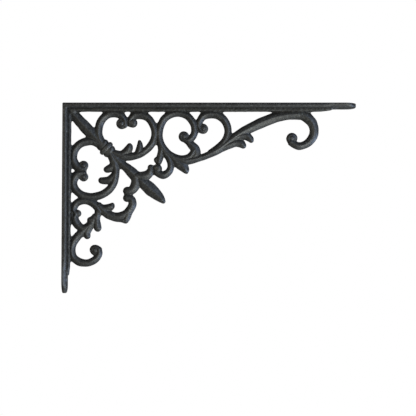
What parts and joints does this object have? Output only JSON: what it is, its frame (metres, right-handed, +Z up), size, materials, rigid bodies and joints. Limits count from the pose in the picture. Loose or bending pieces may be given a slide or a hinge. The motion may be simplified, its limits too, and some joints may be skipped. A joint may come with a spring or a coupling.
{
  "type": "shelf bracket",
  "caption": "Cast iron scroll bracket that screws to a wall and carries one end of a shelf, with open scrollwork filling the corner between its arms.",
  "frame": {"origin": "outer corner of the bracket, where the wall face and the shelf face meet, in the middle of the width", "axes": "+X out from the wall along the shelf arm, +Y across the flanges, +Z up; the wall arm runs down from the origin"},
  "size_m": [0.3048, 0.025, 0.1968],
  "materials": {
    "black_iron": "sand-cast surface with a thin matte black coat, slightly worn grey on the ridges"
  },
  "bodies": {
    "root": {"shelf_arm": "black_iron", "wall_arm": "black_iron", "shelf_rib": "black_iron", "wall_rib": "black_iron", "corner_spear": "black_iron", "collar": "black_iron", "centre_stem": "black_iron", "pendant_spear": "black_iron", "upper_left_scroll": "black_iron", "upper_right_scroll": "black_iron", "upper_leaf": "black_iron", "side_upper_scroll": "black_iron", "side_lower_scroll": "black_iron", "side_leaf": "black_iron", "cross_arm_right": "black_iron", "cross_arm_left": "black_iron", "ring_scroll": "black_iron", "ring_bud": "black_iron", "drop_loop": "black_iron", "drop_leaf": "black_iron", "long_stem": "black_iron", "right_scroll": "black_iron", "stem_leaf": "black_iron", "shelf_hook_scroll": "black_iron", "big_loop": "black_iron", "loop_leaf": "black_iron", "loop_spear": "black_iron", "lower_ring": "black_iron", "lower_leaf": "black_iron", "wall_hook_scroll": "black_iron"}
  },
  "joints": []
}
